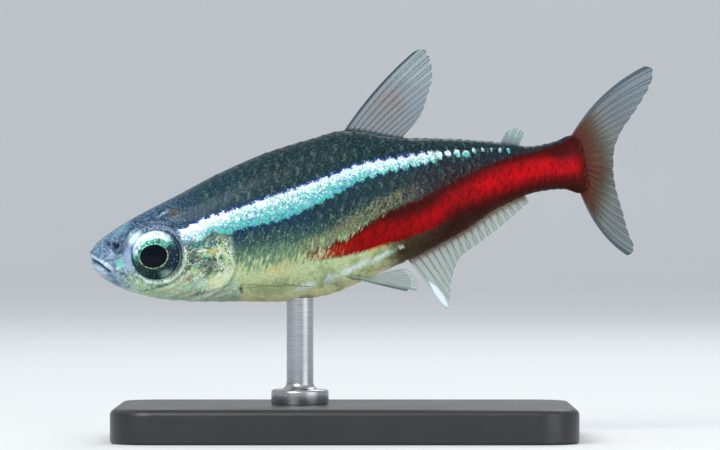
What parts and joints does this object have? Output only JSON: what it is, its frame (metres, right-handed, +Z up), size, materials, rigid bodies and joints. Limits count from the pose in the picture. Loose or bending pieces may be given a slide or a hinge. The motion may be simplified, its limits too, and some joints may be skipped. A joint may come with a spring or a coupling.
{
  "type": "neon tetra display model",
  "caption": "Life-size still model of a small striped aquarium fish swimming slightly nose down, held on a slim rod over a flat base.",
  "frame": {"origin": "centre of the stand base's flat underside, which rests on a table", "axes": "+X along the base's long side and from the fish's snout towards its tail, +Y towards the fish's right side, +Z up"},
  "size_m": [0.0297, 0.015, 0.0204],
  "materials": {
    "fish_skin": "wet scaled skin",
    "tail_skin": "wet scaled skin, red",
    "gill_cover": "silvery wet skin over bone",
    "fin_membrane": "clear wet membrane with fine rays",
    "eye": "wet, clear over a dark pupil and bluish iris",
    "stand_plate": "satin black",
    "stand_metal": "brushed"
  },
  "bodies": {
    "root": {"head": "fish_skin", "torso": "fish_skin", "tail_stem": "tail_skin", "gill_cover_left": "gill_cover", "gill_cover_right": "gill_cover", "eye_left": "eye", "eye_right": "eye", "dorsal_fin": "fin_membrane", "adipose_fin": "fin_membrane", "anal_fin": "fin_membrane", "caudal_fin_upper": "fin_membrane", "caudal_fin_lower": "fin_membrane", "pelvic_fin_left": "fin_membrane", "pelvic_fin_right": "fin_membrane", "pectoral_fin_left": "fin_membrane", "pectoral_fin_right": "fin_membrane", "stand_base": "stand_plate", "stand_rod": "stand_metal"}
  },
  "joints": []
}
